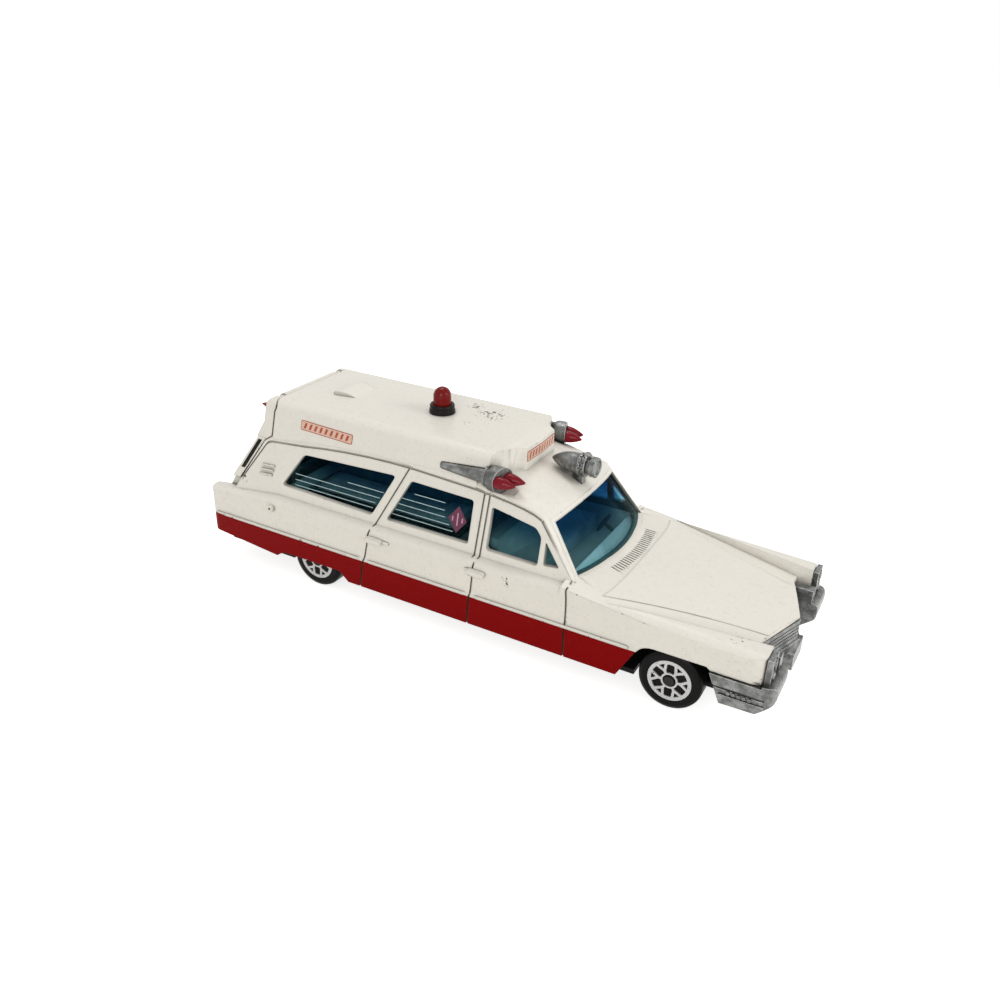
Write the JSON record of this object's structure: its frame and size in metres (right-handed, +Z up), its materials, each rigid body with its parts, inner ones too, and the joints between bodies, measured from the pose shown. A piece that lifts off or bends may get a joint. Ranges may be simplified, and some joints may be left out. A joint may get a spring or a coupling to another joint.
{
  "type": "toy ambulance",
  "caption": "Cast toy ambulance with a raised roof, tinted windows, roof siren and warning pods, a top-hinged tailgate and free-running wheels.",
  "frame": {"origin": "on the ground below the middle of the car's length and width", "axes": "+X towards the nose, +Y towards the car's left side, +Z up"},
  "size_m": [0.152, 0.047, 0.0525],
  "materials": {
    "white_paint": "gloss white enamel on a zinc casting, with a red lower band",
    "tinted_glazing": "clear moulding tinted blue-green",
    "bare_zinc": "bare cast zinc, dulled",
    "black_base": "satin black paint",
    "interior_plastic": "moulded plastic",
    "mattress_plastic": "moulded plastic",
    "black_plastic": "black moulded plastic",
    "red_plastic": "translucent red plastic",
    "crimson_lens": "glossy crimson plastic",
    "wheel_plastic": "black moulded plastic",
    "silver_trim": "hot-stamped silver",
    "steel": "plain steel"
  },
  "bodies": {
    "car": {"body_shell": "white_paint", "hinge_pin": "steel", "window_unit": "tinted_glazing", "baseplate": "black_base", "front_casting": "bare_zinc", "rear_bumper": "bare_zinc", "interior_tray": "interior_plastic", "steering_wheel": "black_plastic", "stretcher_frame": "bare_zinc", "stretcher_mattress": "mattress_plastic", "beacon_ring": "black_plastic", "beacon_dome": "red_plastic", "siren": "bare_zinc", "pod_right": "bare_zinc", "pod_left": "bare_zinc", "pod_lenses_right": "crimson_lens", "pod_lenses_left": "crimson_lens", "front_axle": "steel", "rear_axle": "steel", "front_rivet": "steel", "rear_rivet": "steel"},
    "rear_door": {"tailgate": "white_paint", "tailgate_window": "tinted_glazing", "rear_lamp_bases": "black_plastic", "rear_lamp_lenses": "crimson_lens"},
    "front_right_wheel": {"wheel_front_right": "wheel_plastic", "trim_front_right": "silver_trim"},
    "front_left_wheel": {"wheel_front_left": "wheel_plastic", "trim_front_left": "silver_trim"},
    "rear_right_wheel": {"wheel_rear_right": "wheel_plastic", "trim_rear_right": "silver_trim"},
    "rear_left_wheel": {"wheel_rear_left": "wheel_plastic", "trim_rear_left": "silver_trim"}
  },
  "joints": [
    {"name": "tailgate_hinge", "type": "hinge", "parent": "car", "child": "rear_door", "pos_m": [-0.0589, 0, 0.044], "axis": [0, 1, 0], "range_deg": [0, 75]},
    {"name": "front_right_spin", "type": "hinge", "parent": "car", "child": "front_right_wheel", "pos_m": [0.0537, -0.0198, 0.0072], "axis": [0, 1, 0], "continuous": true},
    {"name": "front_left_spin", "type": "hinge", "parent": "car", "child": "front_left_wheel", "pos_m": [0.0537, 0.0198, 0.0072], "axis": [0, 1, 0], "continuous": true},
    {"name": "rear_right_spin", "type": "hinge", "parent": "car", "child": "rear_right_wheel", "pos_m": [-0.0416, -0.0198, 0.0072], "axis": [0, 1, 0], "continuous": true},
    {"name": "rear_left_spin", "type": "hinge", "parent": "car", "child": "rear_left_wheel", "pos_m": [-0.0416, 0.0198, 0.0072], "axis": [0, 1, 0], "continuous": true}
  ]
}
